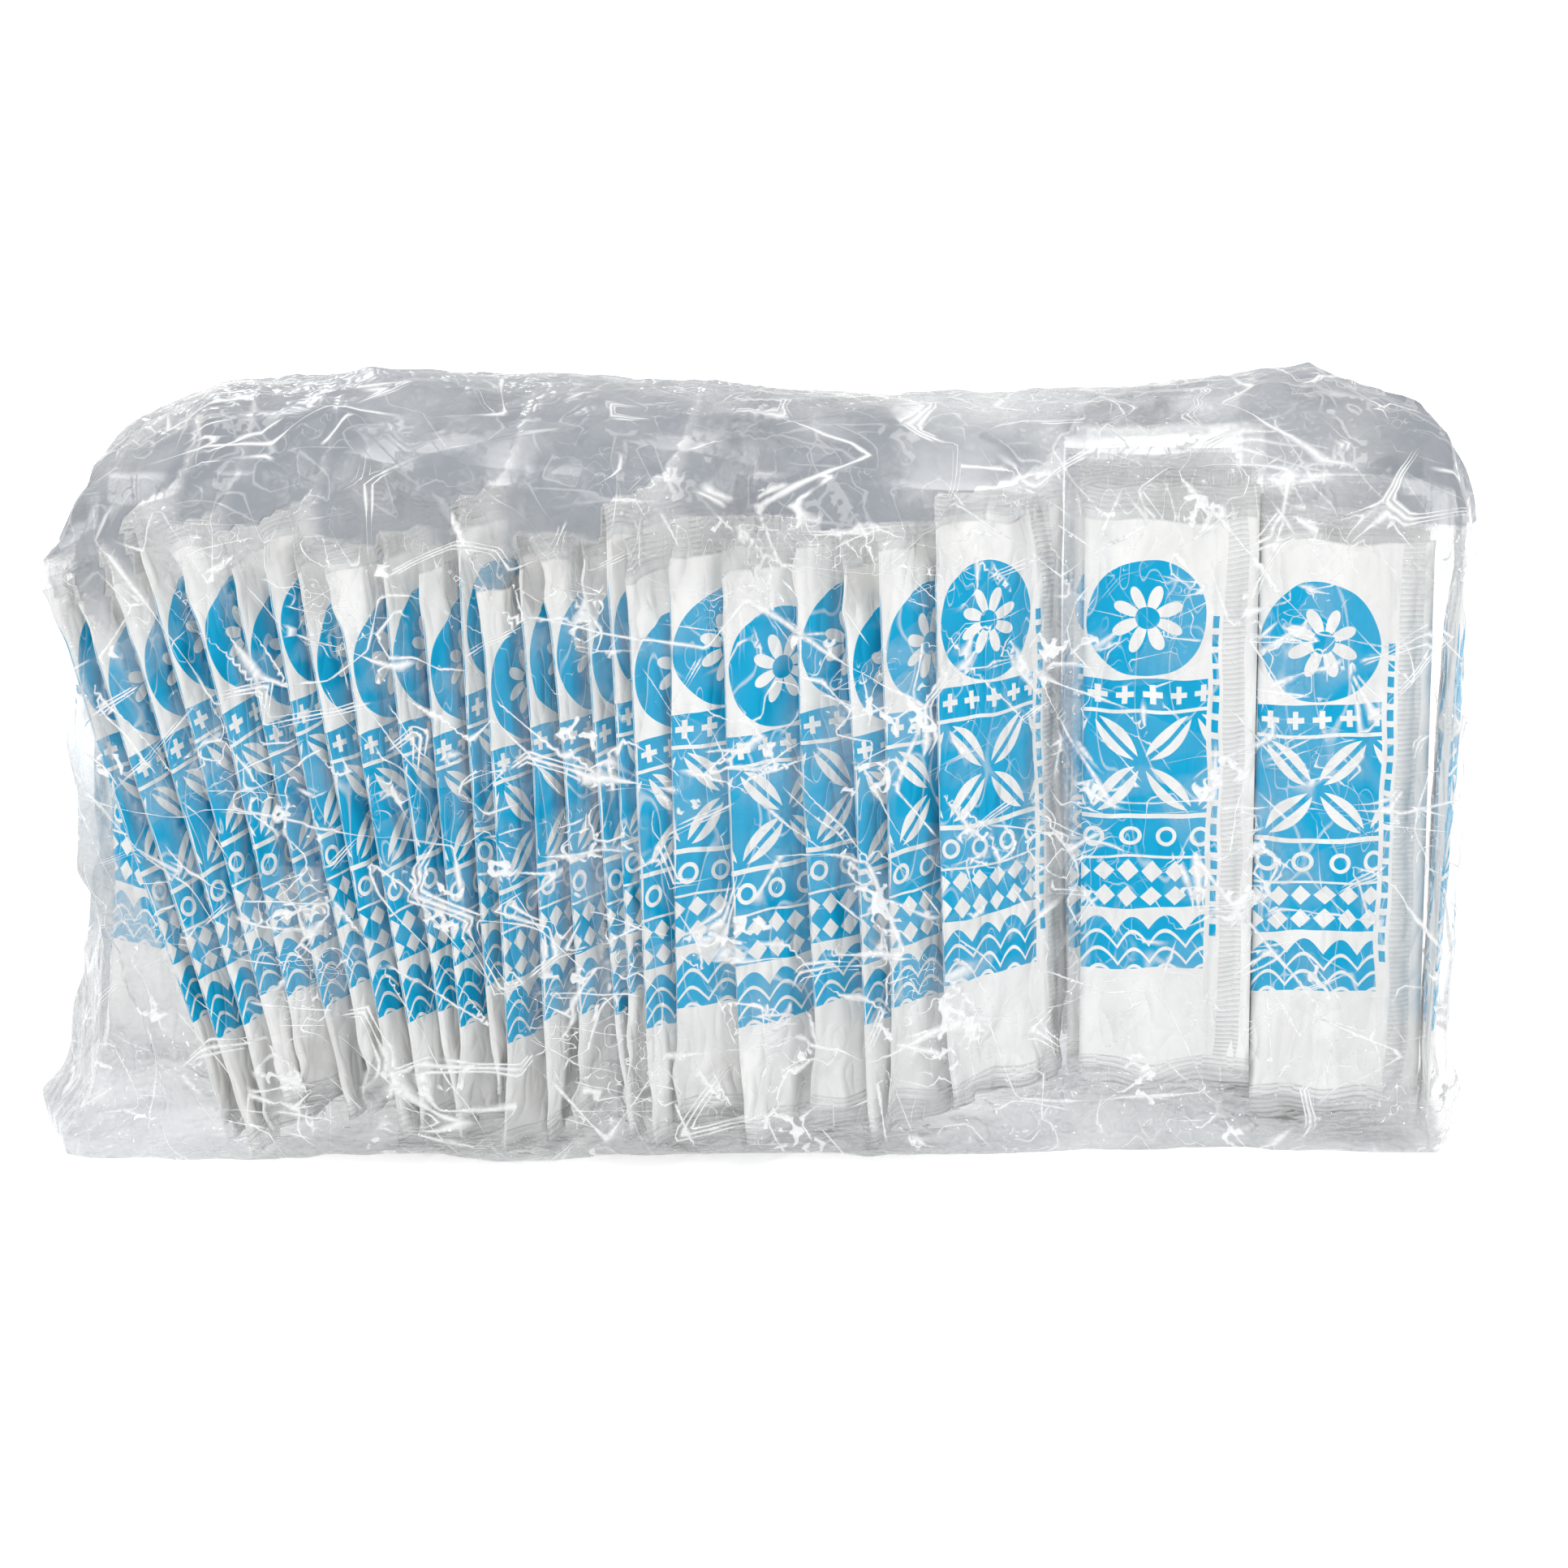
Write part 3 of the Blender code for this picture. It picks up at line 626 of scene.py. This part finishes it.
filmLook = {
    # the empty haze is a darker grey: painted shade on the film over the empty top
    "haze": (0.60, 0.615, 0.63, 1.0), "shadedEmptyHaze": (0.28, 0.305, 0.34, 1.0), "white": (1.0, 1.0, 1.0, 1.0),
    "touchAlpha": 0.008, "freeAlpha": 0.50,       # where it lies on a wrapped set, and where it stands free
    "nearGap": 0.008, "farGap": 0.040,
    "emptyGap": (0.032, 0.055), "emptyAlpha": 0.32,      # more where nothing at all lies behind it,
    "topFrom": (0.19, 0.25),                     # which is towards the top
    "lineAlpha": 0.92, "glintAlpha": 0.14,
    "litFacetAlpha": (0.06, 0.12, 0.10),            # painted highlight: milky facets on one side of each fold, as if they caught the light
    "grazeAlpha": 0.22,
    "foldWidths": (0.0012, 0.0009, 0.0007), "streakWidths": (0.0006, 0.0006, 0.0006),
    "pairedAt": 0.0019,
    "tension": (0.168, 0.004, 0.017),            # height of the streaks across the front, and their reach
    "vent": (0.014, 0.076, 0.247), "ventRadius": 0.003,
}


def makeFilmMaterial(look, wrinkles):
    material, tree, shader = newMaterial("clearFilm")
    place = tree.nodes.new("ShaderNodeTexCoord").outputs["Object"]

    def attribute(name):
        node = tree.nodes.new("ShaderNodeAttribute")
        node.attribute_name = name
        return node.outputs

    def fieldsOf(name):
        parts = tree.nodes.new("ShaderNodeSeparateXYZ")
        put(tree, parts.inputs[0], attribute(name)["Vector"])
        return parts.outputs

    def lineAt(field, width):
        away = calc(tree, "ABSOLUTE", field)
        return ramp(tree, away, 0.0, calc(tree, "MULTIPLY", uneven, width), 1.0, 0.0)

    fine = useGroup(tree, wrinkles, **{"Vector": place, "Scale": 105.0, "Line Width": 0.028})
    cloudy = noiseAt(tree, place, 26.0, 1.0)
    uneven = ramp(tree, fine["Patches"], 0.34, 0.66, 0.2, 2.0)
    folds, streaks = fieldsOf("folds"), fieldsOf("streaks")
    broad, middle, small = [lineAt(field, width) for field, width in zip(folds, look["foldWidths"])]
    paired = lineAt(calc(tree, "SUBTRACT", calc(tree, "ABSOLUTE", folds[1]), look["pairedAt"]), 0.0006)
    streakOne, streakTwo, streakThree = [lineAt(field, width) for field, width in zip(streaks, look["streakWidths"])]
    some = ramp(tree, cloudy, 0.46, 0.54)
    others = ramp(tree, cloudy, 0.52, 0.45)
    few = ramp(tree, cloudy, 0.54, 0.60)
    stand = ramp(tree, attribute("gap")["Fac"], look["nearGap"], look["farGap"])
    parts = tree.nodes.new("ShaderNodeSeparateXYZ")
    put(tree, parts.inputs[0], place)
    level = parts.outputs[2]
    empty = both(tree, ramp(tree, attribute("gap")["Fac"], *look["emptyGap"]), ramp(tree, level, *look["topFrom"]))
    busy = calc(tree, "SUBTRACT", 1.0, calc(tree, "MULTIPLY", empty, 0.75))
    height, start, end = look["tension"]
    tension = ramp(tree, calc(tree, "ABSOLUTE", calc(tree, "SUBTRACT", level, height)), start, end, 1.0, 0.0)
    tension = both(tree, tension, ramp(tree, cloudy, 0.44, 0.50))
    # painted highlights: glint blots, and white lines along the folds, their paired ridges, the streaks and the fine
    # wrinkles, partly also the whitening of creased film
    glintBlots = both(tree, ramp(tree, fine["Patches"], 0.645, 0.665), ramp(tree, fine["Height"], 0.13, 0.08), busy)
    glintsAndWhitening = either(tree, glintBlots,
                   both(tree, broad, ramp(tree, cloudy, 0.38, 0.50)), both(tree, middle, others),
                   both(tree, paired, ramp(tree, cloudy, 0.47, 0.42)), both(tree, small, some, busy),
                   both(tree, streakOne, either(tree, tension, both(tree, few, busy))),
                   both(tree, streakTwo, others, busy),
                   both(tree, streakThree, either(tree, tension, ramp(tree, cloudy, 0.62, 0.68))),
                   both(tree, fine["Lines"], ramp(tree, cloudy, 0.56, 0.64), busy))
    mottle = ramp(tree, cloudy, 0.30, 0.70, 0.72, 1.12)
    free = calc(tree, "ADD", calc(tree, "MULTIPLY", mottle, look["freeAlpha"]),
                calc(tree, "MULTIPLY", empty, look["emptyAlpha"]))
    haze = calc(tree, "ADD", look["touchAlpha"],
                calc(tree, "MULTIPLY", stand, calc(tree, "SUBTRACT", free, look["touchAlpha"])))
    facing = tree.nodes.new("ShaderNodeLayerWeight")
    facing.inputs["Blend"].default_value = 0.5
    graze = calc(tree, "MULTIPLY", calc(tree, "POWER", facing.outputs["Facing"], 2.0), look["grazeAlpha"])
    glint = calc(tree, "MULTIPLY", ramp(tree, fine["Patches"], 0.52, 0.62), look["glintAlpha"])
    haze = calc(tree, "MAXIMUM", calc(tree, "ADD", haze, graze), glint)
    # painted highlight: one side of each fold is made milkier, as if its facet caught the light
    for field, strength, mask in zip(folds, look["litFacetAlpha"], (others, some, few)):
        litFacet = both(tree, ramp(tree, field, -0.0004, 0.0004), mask)
        haze = calc(tree, "ADD", haze, calc(tree, "MULTIPLY", litFacet, strength))
    alpha = calc(tree, "MAXIMUM", haze, calc(tree, "MULTIPLY", glintsAndWhitening, look["lineAlpha"]))
    # painted shade: the film over the empty top is given a darker grey than the haze elsewhere
    milky = mixColor(tree, empty, look["haze"], look["shadedEmptyHaze"])
    # the painted highlight lines and blots are white and nearly opaque
    put(tree, shader["Base Color"], mixColor(tree, glintsAndWhitening, milky, look["white"]))
    bump = tree.nodes.new("ShaderNodeBump")
    bump.inputs["Distance"].default_value = 0.006
    bump.inputs["Strength"].default_value = 0.9
    put(tree, bump.inputs["Height"], calc(tree, "MULTIPLY", fine["Height"], busy))
    put(tree, shader["Normal"], bump.outputs[0])
    put(tree, shader["Roughness"], calc(tree, "ADD", ramp(tree, cloudy, 0.3, 0.7, 0.05, 0.12),
                                        calc(tree, "MULTIPLY", empty, 0.30)))
    shader["IOR"].default_value = 1.75
    fromVent = tree.nodes.new("ShaderNodeVectorMath")
    fromVent.operation = "DISTANCE"
    put(tree, fromVent.inputs[0], place)
    fromVent.inputs[1].default_value = look["vent"]
    hole = calc(tree, "GREATER_THAN", fromVent.outputs["Value"], look["ventRadius"])
    rim = calc(tree, "LESS_THAN", fromVent.outputs["Value"], look["ventRadius"] * 1.25)
    alpha = calc(tree, "MULTIPLY", calc(tree, "MAXIMUM", alpha, calc(tree, "MULTIPLY", rim, 0.8)), hole)
    put(tree, shader["Alpha"], alpha)
    return material


# floor, light and camera
studio = {
    "floorColor": (0.93, 0.93, 0.93, 1.0), "floorSize": 8.0,
    "whiteFrom": (0.25, 1.3, 0.45, 1.0),   # distances and strengths between which the floor turns to plain white
    "worldLight": 0.82,
    "lensLength": 100.0, "elevation": 15.0, "distance": 1.752,
    "aim": (0.0135, 0.0, 0.142),
    "lamps": {      # place, size, power
        "keyLamp": ((-1.1, -1.7, 1.5), 0.26, 7.5),
        "fillLamp": ((1.5, -1.5, 1.0), 0.26, 5.0),
        "topLamp": ((0.2, -0.3, 1.9), 0.40, 2.2),
        "backLamp": ((-0.6, 1.6, 1.2), 0.40, 4.0),
    },
}


def makeStudio(look):
    bm = bmesh.new()
    bmesh.ops.create_grid(bm, x_segments=2, y_segments=2, size=look["floorSize"])
    bmesh.ops.translate(bm, vec=(0, 0, -0.0003), verts=bm.verts)
    mesh = bpy.data.meshes.new("floor")
    bm.to_mesh(mesh)
    bm.free()
    floor = bpy.data.objects.new("floor", mesh)
    scene.collection.objects.link(floor)
    material, tree, shader = newMaterial("paleFloor")
    place = tree.nodes.new("ShaderNodeTexCoord").outputs["Object"]
    put(tree, shader["Roughness"], ramp(tree, noiseAt(tree, place, 3.0), 0.0, 1.0, 0.55, 0.65))
    shader["Base Color"].default_value = look["floorColor"]
    distance = tree.nodes.new("ShaderNodeVectorMath")
    distance.operation = "LENGTH"
    put(tree, distance.inputs[0], place)
    path = tree.nodes.new("ShaderNodeLightPath").outputs
    seen = either(tree, path["Is Camera Ray"], path["Is Glossy Ray"], path["Is Transmission Ray"])
    shader["Emission Color"].default_value = (1, 1, 1, 1)
    put(tree, shader["Emission Strength"], both(tree, seen, ramp(tree, distance.outputs["Value"], *look["whiteFrom"])))
    shader["Specular IOR Level"].default_value = 0.12
    mesh.materials.append(material)

    world = bpy.data.worlds.new("studio")
    scene.world = world
    world.use_nodes = True
    tree = world.node_tree
    background = tree.nodes["Background"].inputs
    path = tree.nodes.new("ShaderNodeLightPath").outputs
    seen = either(tree, path["Is Camera Ray"], path["Is Glossy Ray"], path["Is Transmission Ray"])
    strength = calc(tree, "ADD", look["worldLight"], calc(tree, "MULTIPLY", seen, 1 - look["worldLight"]))
    put(tree, background["Strength"], strength)
    background["Color"].default_value = (1, 1, 1, 1)

    for name, (place, size, power) in look["lamps"].items():
        light = bpy.data.lights.new(name, "AREA")
        light.shape = "DISK"
        light.size = size
        light.energy = power
        lamp = bpy.data.objects.new(name, light)
        lamp.location = place
        lamp.rotation_euler = (Vector((0, 0, 0.12)) - Vector(place)).to_track_quat("-Z", "Y").to_euler()
        scene.collection.objects.link(lamp)

    camera = bpy.data.cameras.new("camera")
    camera.lens = look["lensLength"]
    eye = bpy.data.objects.new("camera", camera)
    tilt = math.radians(look["elevation"])
    back = Vector((0, -math.cos(tilt), math.sin(tilt)))
    eye.location = Vector(look["aim"]) + back * look["distance"]
    eye.rotation_euler = (-back).to_track_quat("-Z", "Y").to_euler()
    scene.collection.objects.link(eye)
    scene.camera = eye


scene.view_settings.view_transform = "Standard"
scene.cycles.transparent_max_bounces = 32
makeStudio(studio)
print("studio: floor, lamps and camera stand")
wrinkles = makeWrinkles()
wrapMaterial = makeWrapMaterial(printLook, wrinkles, makePrint(printLook))
setNames = sorted(name for name in nodes if name != "outer_bag")
for index, name in enumerate(setNames):
    wrappedSet(name, index, setShape, wrapMaterial)
print("wrapped sets:", len(setNames))
outerBag(bagShape, makeFilmMaterial(filmLook, wrinkles))
print("outer bag: film laid over the wrapped sets")
